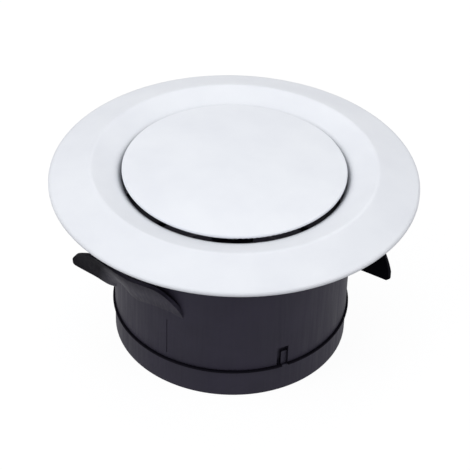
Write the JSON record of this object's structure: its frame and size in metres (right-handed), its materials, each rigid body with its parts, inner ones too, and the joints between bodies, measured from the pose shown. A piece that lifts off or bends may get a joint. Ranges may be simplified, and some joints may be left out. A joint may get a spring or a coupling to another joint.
{
  "type": "round air vent valve",
  "caption": "Round ceiling air vent valve: white face ring and domed disc on a threaded spindle, over a black duct spigot with two barbed leaves and a bridge.",
  "frame": {"origin": "on the valve's axis, in the flat bottom of the lower ring", "axes": "+Z along the spindle, from the duct towards the room side; the leaves stand out towards +X and -X; the locking tongue is at the front right, 298.1 degrees from +X"},
  "size_m": [0.15, 0.15, 0.0824],
  "materials": {
    "white_plastic": "satin moulded polypropylene",
    "black_plastic": "satin moulded polypropylene",
    "zinc_steel": "bright zinc plating",
    "black_rubber": "matt moulded rubber",
    "foam": "closed-cell foam"
  },
  "bodies": {
    "housing": {"face_ring": "white_plastic", "flange_gasket": "foam", "spigot": "black_plastic", "bridge_ring": "black_plastic", "joint_seal": "black_rubber"},
    "carriage": {"stop_washer": "zinc_steel"},
    "disc": {"valve_disc": "white_plastic", "spindle": "zinc_steel", "disc_washer": "zinc_steel", "disc_nut": "zinc_steel", "lock_nut": "zinc_steel", "stop_clip": "zinc_steel"}
  },
  "joints": [
    {"name": "disc_travel", "type": "slide", "parent": "housing", "child": "carriage", "axis": [0, 0, 1], "range_m": [-0.0027, 0.018]},
    {"name": "disc_turn", "type": "hinge", "parent": "carriage", "child": "disc", "pos_m": [0, 0, 0.04], "axis": [0, 0, 1], "range_deg": [-777, 5180]}
  ],
  "couplings": [
    {"joint": "disc_travel", "follows": "disc_turn", "m_per_rad": 0.00019894}
  ]
}
